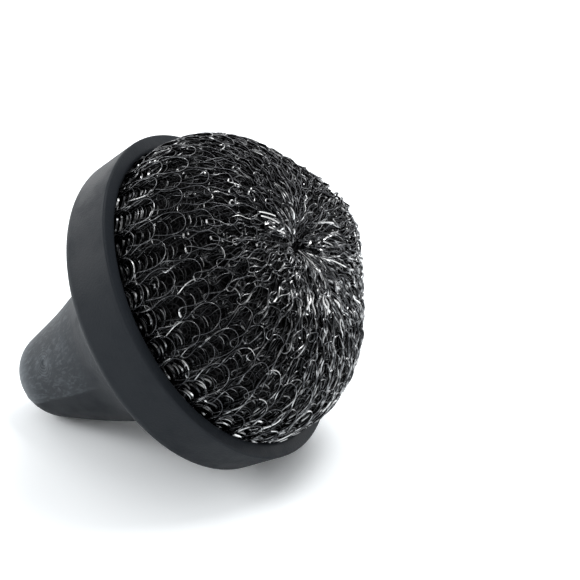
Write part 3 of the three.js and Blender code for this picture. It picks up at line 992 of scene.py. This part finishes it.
@dataclass(frozen=True)
class KnitTurn:
    """One turn of the rolled tube: a single wire in a rising spiral of loops.

    Lengths along the meridian are from the edge of the skirt. The loops have round heads towards the pole and
    narrow feet, and each hooks through the course below it. A pair gives a value at the edge and one at the crown.
    A wave has its number of rounds, its phase gained in each course and its size.
    """

    seed: int
    start: float
    end: float
    course: float
    wales: int
    inset: float
    head_twist: float
    leg_twist: float
    loop_height: float = 8.3
    gather: float = 0.28
    head_round: float = 0.5
    bulge: float = 1.15
    pinch: float = 1.15
    lean: float = 0.2
    ridge: float = 0.2
    crown_start: float = 16.0
    crown_depth: float = 32.0
    crimp: float = 0.7
    crimp_lift: float = 0.5
    crimp_seed: int = 50
    slow_waves: tuple[Triple, ...] = ((5, 1.1, 1.0), (11, -2.3, 0.7))
    slow_size: float = 0.45
    sway_waves: tuple[Triple, ...] = ((8, 1.9, 1.0), (17, -1.3, 0.8))
    sway_size: Pair = (0.4, 0.7)
    height_stray: float = 0.1
    side_stray: Pair = (0.4, 1.2)
    foot_stray: float = 0.9
    lift_stray: float = 0.2
    twist_stray: float = 0.25
    foot_twist: float = 1.1
    tip_share: Pair = (1.0, 0.2)
    twist_share: Pair = (0.5, 1.0)
    least_radius: float = 5.0
    glint_weight: Pair = (0.7, 0.9)
    painted_glint_feet: float = 0.75
    painted_glint_heads: float = 0.3
    painted_glint_legs: float = 0.04
    foot_limit: float = 0.96
    head_limit: Pair = (0.96, 0.999)
    leg_limit: float = 0.6
    steps: int = 30

    def strand(self, dome: Dome) -> Strand:
        """The wire's course.

        In each loop the angle t turns once. Across the wale the wire lies at (t + b sin 2t - p sin t) / 2 pi, along
        the meridian at -h cos t + k cos 2t, and along the normal at -l cos t - d cos 2t, which makes the heads wide,
        the feet narrow and the legs stand out. The courses climb by x + g x (1 - x) at a share x of the way, so that
        they close up towards the pole, and h shrinks with their pitch. The wire stands on its edge, tips outwards in
        the heads and lies flatter by sin t |sin t| in the legs, more so at the crown.

        Each head strays by random lengths that fade out at its feet, each foot strays and twists by lengths that fade
        out at the heads, and slow waves push whole courses about. Towards the crown the loops stray further, some
        sink, and they lose their place over the turn below, because the wire is gathered into less room, and there it
        is crimped by sin(4t + own phase). The middles of some feet, heads and legs are painted with glints.

        Args:
            dome: The surface that the turn follows.

        Returns:
            One wire.
        """
        courses = round((self.end - self.start) / self.course)
        loops = self.wales * courses
        index = np.arange(loops * self.steps)
        loop = index // self.steps
        t = FULL_TURN * (index + 0.5) / self.steps
        rng = np.random.default_rng(self.seed)
        head = (1 - np.cos(t)) / 2
        nearest_foot = np.rint(t / FULL_TURN).astype(int)
        own = head * rng.normal(size=(4, loops))[:, loop]
        kink = np.random.default_rng(self.seed + self.crimp_seed).uniform(0, FULL_TURN, size=loops)[loop]
        foot = (1 - head) ** 2 * rng.normal(size=(2, loops + 1))[:, nearest_foot]
        around = t / self.wales
        rise = around / FULL_TURN
        phase = rng.uniform(0, FULL_TURN, size=5)
        waves = [
            size * np.sin(rounds * around + gain * rise + start)
            for (rounds, gain, size), start in zip(self.slow_waves + self.sway_waves, phase)
        ]
        slow, sway = waves[0] + waves[1], waves[2] + waves[3]

        share = rise / courses
        climb = self.start + (self.end - self.start) * share * (1 + self.gather * (1 - share))
        pitch = 1 + self.gather * (1 - 2 * share)
        crown = smooth_step((climb - self.crown_start) / self.crown_depth)
        middle = np.cos(t + math.pi / self.steps)
        # Painted glints: the middles of some feet, heads and legs take the pale glint finish, more of them towards the
        # crown.
        glint_draws = rng.uniform(size=(3, 2 * loops + 1))
        glint_weight = grade(self.glint_weight, crown)
        wear_and_painted_light = (middle > self.foot_limit) & (glint_draws[0, nearest_foot] < self.painted_glint_feet * glint_weight)
        wear_and_painted_light |= (middle < -grade(self.head_limit, crown)) & (glint_draws[1, loop] < self.painted_glint_heads * glint_weight)
        wear_and_painted_light |= (np.abs(middle) < self.leg_limit) & (glint_draws[2, 2 * index // self.steps] < self.painted_glint_legs)

        height = self.loop_height / 2 * pitch * (1 + self.height_stray * own[0])
        length = climb - height * np.cos(t) + self.head_round * np.cos(2 * t) + self.slow_size * slow
        _, _, radius = dome.lay(length, around, np.zeros_like(t))
        crimp = self.crimp * crown * head
        side = grade(self.side_stray, crown) * own[1] + grade(self.sway_size, crown) * sway
        side += self.foot_stray * crown * foot[0] + crimp * np.sin(4 * t + kink)
        swing = t + self.bulge * np.sin(2 * t) - self.pinch * np.sin(t) + crown * (phase[4] - math.pi)
        turn = swing / self.wales + side / np.maximum(radius, self.least_radius)
        sink = crown * np.abs(own[2]) - self.lift_stray * own[2]
        lift = -self.inset - self.lean * np.cos(t) - self.ridge * np.cos(2 * t) - sink
        lift += self.crimp_lift * crimp * np.sin(5 * t - kink)
        places, out, _ = dome.lay(length, turn, lift)
        tip = self.head_twist * grade(self.tip_share, crown) * head
        tip += self.twist_stray * own[3] + self.foot_twist * foot[1]
        twist = grade(self.twist_share, crown) * (self.leg_twist * np.sin(t) * np.abs(np.sin(t)) + tip)
        return Strand(places[None], out[None], twist[None], wear_and_painted_light[None])


@dataclass(frozen=True)
class Selvedge:
    """The edge of the knit where it tucks under the lip: short bent bars of wire across the mouth of each wale."""

    length: float = 9.6
    bars: int = 5
    bar_pitch: float = 1.8
    bar_share: float = 0.28
    lift: float = 0.1
    sink: float = 0.2
    arch: float = 1.3
    arch_lift: float = 0.5
    twist: float = 0.75
    turn_stray: float = 0.04
    share_stray: float = 0.2
    length_stray: float = 0.2
    twist_stray: float = 0.25
    painted_glint_share: float = 0.12
    wales: int = 38
    steps: int = 9
    seed: int = 5

    def strand(self, dome: Dome) -> Strand:
        """The bars' course.

        Round the axis each bar spans a share of its wale, from -u to u, and it bends towards the pole and outwards by
        1 - u^2. The bars of a wale follow each other along the meridian, each a little deeper.

        Args:
            dome: The surface that the edge follows.

        Returns:
            One wire for each bar.
        """
        rng = np.random.default_rng(self.seed)
        wale, bar = np.divmod(np.arange(self.wales * self.bars)[:, None], self.bars)
        own = rng.normal(size=(4, self.wales * self.bars, 1))
        u = np.linspace(-1, 1, self.steps)[None, :]
        half = self.bar_share * (1 + self.share_stray * own[1])
        turn = FULL_TURN * (wale + 0.5 + self.turn_stray * own[0] + half * u) / self.wales
        length = self.length + self.bar_pitch * bar + self.length_stray * own[2] - self.arch * u**2
        lift = self.lift - self.sink * bar - self.arch_lift * self.arch * u**2
        places, out, _ = dome.lay(length, turn, lift)
        # Painted glints on some of the bars.
        wear_and_painted_light = np.broadcast_to(rng.uniform(size=wale.shape) < self.painted_glint_share, turn.shape)
        return Strand(places, out, self.twist + self.twist_stray * own[3] + 0 * u, wear_and_painted_light)


@dataclass(frozen=True)
class Tail:
    """The end of the tube, drawn together at the pole: short straight lengths of wire that come out of the dimple.

    A bundle has its angle round the pole and its nearest and farthest start.
    """

    bundles: tuple[Triple, ...] = (
        (0.2, 3.0, 14.0),
        (1.2, 4.0, 19.0),
        (2.3, 1.6, 9.0),
        (3.6, 2.0, 9.0),
        (4.4, 3.0, 12.0),
    )
    count: int = 18
    spread: float = 0.45
    shortest: float = 1.2
    longest: float = 6.5
    size_power: float = 1.5
    veer: float = 3.0
    least_radius: float = 3.0
    lift: float = 0.75
    arch: float = 0.4
    twist: float = 1.25
    twist_spread: float = 0.8
    curl: float = 0.3
    painted_glint_share: float = 0.25
    steps: int = 8
    seed: int = 8

    def strand(self, dome: Dome) -> Strand:
        """The lengths' course.

        Each runs out from the pole between two random distances, veers to the side by a random share of u and
        arches over the knit by sin(pi u), where u goes from 0 to 1 along it. They lie in bundles, one in each fold of
        the gathered tube.

        Args:
            dome: The surface that the lengths lie on.

        Returns:
            One wire for each length.
        """
        rng = np.random.default_rng(self.seed)
        u = np.linspace(0, 1, self.steps)[None, :]
        middle, nearest, farthest = np.repeat(np.array(self.bundles), self.count, axis=0).T[..., None]
        angle, veer, hump, roll, far, size, glint_draws = rng.uniform(size=(7, len(middle), 1))
        near = nearest + (farthest - nearest) * far
        reach = self.shortest + (self.longest - self.shortest) * size**self.size_power
        end = dome.meridian()[0][-1]
        turn = middle + 2 * self.spread * (angle - 0.5)
        turn = turn + self.veer * (veer - 0.5) * u / np.maximum(near, self.least_radius)
        lift = self.lift + self.arch * hump * np.sin(math.pi * u)
        places, out, _ = dome.lay(end - near - reach * u, turn, lift)
        # Painted glints on some of the lengths.
        wear_and_painted_light = np.broadcast_to(glint_draws < self.painted_glint_share, turn.shape)
        return Strand(places, out, self.twist + self.twist_spread * (roll - 0.5) + self.curl * u, wear_and_painted_light)


@dataclass
class KnittedPad:
    """The pad: the outer turns of a rolled knitted tube over the inner turns, which are painted darker as painted
    shade.

    Each turn ends at its own distance from the pole, because the tube is rolled up on itself from there.
    The twists are those of a turn's heads and legs.
    """

    dome: Dome = field(default_factory=Dome)
    selvedge: Selvedge = field(default_factory=Selvedge)
    tail: Tail = field(default_factory=Tail)
    wire: FlatWire = field(default_factory=FlatWire)
    doubled_wire: FlatWire = field(default_factory=lambda: FlatWire(width=0.38, thickness=0.15))
    tail_wire: FlatWire = field(default_factory=lambda: FlatWire(width=0.36, thickness=0.13))
    wales: int = 38
    course: float = 6.2
    pole_gaps: tuple[float, ...] = (5.0, 8.0, 14.0, 19.0, 25.0, 30.0)
    turn_spacing: float = 0.48
    turn_shift: float = 1.5
    first_course: float = 3.0
    outer_twists: Pair = (0.35, 0.8)
    inner_twists: Pair = (0.55, 0.5)
    first_seed: int = 21
    roll_inset: float = 4.4
    roll_bottom: float = -14.8
    roll_edge: float = -11.0
    roll_edge_inset: float = 5.0
    roll_dent: float = 0.006
    roll_dents: int = 19
    roll_samples: int = 160
    roll_stride: int = 3
    pole_clear: float = 0.5
    neck_radius: float = 17.5
    neck_top: float = -12.0
    roll_fill: float = 0.8
    sides: int = 180

    def knit(self, turn: int) -> KnitTurn:
        """One turn, a little further along the roll than the one above it.

        Args:
            turn: Its number, counted from 0 on the outside.

        Returns:
            The turn.
        """
        start = self.first_course + (turn * self.turn_shift) % self.course - self.course / 2
        end = self.dome.meridian()[0][-1] - self.pole_gaps[turn]
        twists = self.inner_twists if turn else self.outer_twists
        return KnitTurn(self.first_seed + turn, start, end, self.course, self.wales, turn * self.turn_spacing, *twists)

    def roll(self, material: Material) -> Object:
        """Turn the roll's outline: the dome moved inwards, with a flat underside and a neck, lightly dented.

        The radius is the outline's times 1 + d sin(n a + h/2), with n dents of a share d.

        Args:
            material: The roll's material.

        Returns:
            The roll's object.
        """
        _, line, normals = self.dome.meridian(self.roll_samples)
        outer = (line - self.roll_inset * normals)[:: self.roll_stride]
        outer = outer[outer[:, 0] > self.pole_clear]
        neck = [(0.0, self.roll_bottom), (self.neck_radius, self.roll_bottom), (self.neck_radius, self.neck_top)]
        under = np.array([*neck, (outer[0, 0] - self.roll_edge_inset, self.roll_edge)])
        outline = np.concatenate([under, outer, [[0.0, outer[-1, 1]]]])
        even, height, angle = turned_grid(outline, self.sides)
        radius = even * (1 + self.roll_dent * np.sin(self.roll_dents * angle + height / 2))
        vectors = TOOL.turn(radius, height, angle) + self.dome.warp(radius, height, angle)
        return turned_piece("mesh_roll_turns", vectors, material)

    def build(self) -> None:
        """Build the wires and the roll and let them stand for the pad's CAD nodes."""
        # The outer turns' finishes: flats with painted glints, edges, and the pale painted-glint finish.
        outer = [finish.material() for finish in (FlatSteelWire(), WireEdge(), PaintedGlintWire())]
        # Darker copies of the three finishes for the inner turns: painted shade.
        shaded = (
            FlatSteelWire("rolled_flat_steel_wire_in_shade", "88898b", "2e2f30"),
            WireEdge("unrolled_steel_wire_edge_in_shade", "3a3b3d"),
            PaintedGlintWire("painted_glint_steel_wire_in_shade", "a8a9aa"),
        )
        inner = [finish.material() for finish in shaded]
        turns = [(f"mesh_turn_{i + 1}", self.wire, self.knit(i), inner, []) for i in range(1, len(self.pole_gaps))]
        wires = [
            ("mesh_turn_1", self.wire, self.knit(0), outer, ["mesh_skin"]),
            *turns,
            ("mesh_selvedge", self.doubled_wire, self.selvedge, outer, []),
            ("mesh_tail_ends", self.tail_wire, self.tail, outer, ["mesh_tail"]),
        ]
        for name, wire, course, finish, nodes in wires:
            points, faces, choice = wire.sweep(course.strand(self.dome))
            shading = Shading.SMOOTH if wire is self.wire else Shading.FLAT
            ride(mesh_object(name, points, faces, shading, *finish, choice=choice), Slot.WIRE, *nodes)
        # The roll is painted near black: painted shade deep in the pad.
        roll = self.roll(RolledKnitShade().material())
        ride(roll, Slot.ROLL, "mesh_roll")


# The hidden fastening


@dataclass(frozen=True)
class Fastening:
    """The CAD pieces that hold the pad, which keep their shapes and get their finishes."""

    plate: str = "claw_plate"
    metal: tuple[str, ...] = ("plate_washer", "plate_screw", "tie_wire")

    def dress(self) -> None:
        """Give each CAD piece its material."""
        finishes = {self.plate: MouldedNylon().material()}
        finishes |= dict.fromkeys(self.metal, ZincPlatedSteel().material())
        for name, material in finishes.items():
            mesh = frame["nodes"][name].data
            mesh.materials.clear()
            mesh.materials.append(material)
            log.info("%s: dressed", name)


# The studio


@dataclass(frozen=True)
class SoftBox:
    """One square area lamp that looks at the brush."""

    name: str
    place: Triple
    side: float
    watts: float

    def hang(self) -> None:
        """Add the lamp, unseen by the camera and turned towards the lip's centre."""
        data = bpy.data.lights.new(self.name, "AREA")
        data.size = self.side
        data.energy = self.watts
        light = bpy.data.objects.new(self.name, data)
        light.location = self.place
        light.visible_camera = False
        towards = Vector(TOOL.centre) - Vector(self.place)
        light.rotation_euler = towards.to_track_quat("-Z", "Y").to_euler()
        bpy.context.scene.collection.objects.link(light)


@dataclass(frozen=True)
class Studio:
    """A white floor, soft lamps and the camera of the photograph, placed from the lip's centre."""

    camera_offset: Triple = (0.136471, -0.28999, 0.126907)
    camera_turn: Triple = (68.4724, -0.2135, 22.3203)
    camera_clip: float = 0.01
    focal_px: float = 1326.83
    image_px: float = 580.0
    sensor_mm: float = 36.0
    floor_side: float = 12.0
    world_strength: float = 0.7
    dark_side: float = 0.3
    dark_side_edge: Pair = (-0.6, 0.1)
    dim_right: float = 0.55
    dim_right_edge: Pair = (0.3, 0.9)
    lamps: tuple[SoftBox, ...] = (
        SoftBox("overhead_box", (0.28, 0.32, 0.95), 0.45, 5.5),
        SoftBox("right_back_box", (0.68, 0.82, 0.24), 0.45, 1.4),
        SoftBox("right_front_box", (0.9, -0.2, 0.3), 0.4, 0.6),
        SoftBox("left_back_box", (-0.8, 0.5, 0.35), 0.4, 1.6),
        SoftBox("left_front_box", (-0.8, -0.3, 0.42), 0.5, 4.6),
    )

    def camera(self) -> None:
        """Place the camera as the photograph's was, with its focal length in pixels turned to millimetres."""
        data = bpy.data.cameras.new("photo_camera")
        data.sensor_width = self.sensor_mm
        data.lens = self.focal_px / self.image_px * self.sensor_mm
        data.clip_start = self.camera_clip
        camera = bpy.data.objects.new("photo_camera", data)
        camera.location = Vector(TOOL.centre) + Vector(self.camera_offset)
        camera.rotation_euler = Euler([math.radians(turn) for turn in self.camera_turn])
        bpy.context.scene.collection.objects.link(camera)
        bpy.context.scene.camera = camera

    def floor(self) -> None:
        """Lay the floor under the brush."""
        half = self.floor_side / 2
        points = np.array([[-half, -half, 0], [half, -half, 0], [half, half, 0], [-half, half, 0]])
        floor = mesh_object("floor", points, np.array([[0, 1, 2, 3]]), Shading.FLAT, StudioPaper().material())

    def world(self) -> None:
        """Surround the brush with a white world, whose mirror image is dim on the camera's side and on the right."""
        world = bpy.data.worlds.new("white_studio")
        world.use_nodes = True
        tree = world.node_tree
        tree.nodes.clear()
        way = add_node(tree, "TexCoord", {}).outputs["Generated"]
        parts = add_node(tree, "SeparateXYZ", {}, Vector=way).outputs
        start, end = self.dim_right_edge
        limits = {"From_Min": start, "From_Max": end, "To_Min": 1.0, "To_Max": self.dim_right}
        right = add_node(tree, "MapRange", {}, Value=parts["X"], **limits).outputs["Result"]
        start, end = self.dark_side_edge
        limits = {"From_Min": start, "From_Max": end, "To_Min": self.dark_side, "To_Max": right}
        mirrored = add_node(tree, "MapRange", {}, Value=parts["Y"], **limits).outputs["Result"]
        eye = add_node(tree, "LightPath", {}).outputs["Is Camera Ray"]
        seen = add_node(tree, "Math", {"operation": "MAXIMUM"}, in_0=mirrored, in_1=eye).outputs[0]
        limits = {"To_Min": self.world_strength, "To_Max": seen}
        strength = add_node(tree, "MapRange", {}, Value=seen_rays(tree), **limits).outputs["Result"]
        background = add_node(tree, "Background", {}, Color=linear("ffffff"), Strength=strength)
        add_node(tree, "OutputWorld", {}, Surface=background.outputs["Background"])
        bpy.context.scene.world = world

    def build(self) -> None:
        """Set up the camera, floor, world, lamps and view."""
        self.camera()
        self.floor()
        self.world()
        for lamp in self.lamps:
            lamp.hang()
        bpy.context.scene.view_settings.view_transform = "Standard"


def main() -> None:
    """Build the brush and its studio in order."""
    logging.basicConfig(level=logging.INFO, format="%(name)s: %(message)s")
    Studio().build()
    BellHandle().build()
    Fastening().dress()
    KnittedPad().build()


if __name__ == "__main__":
    main()
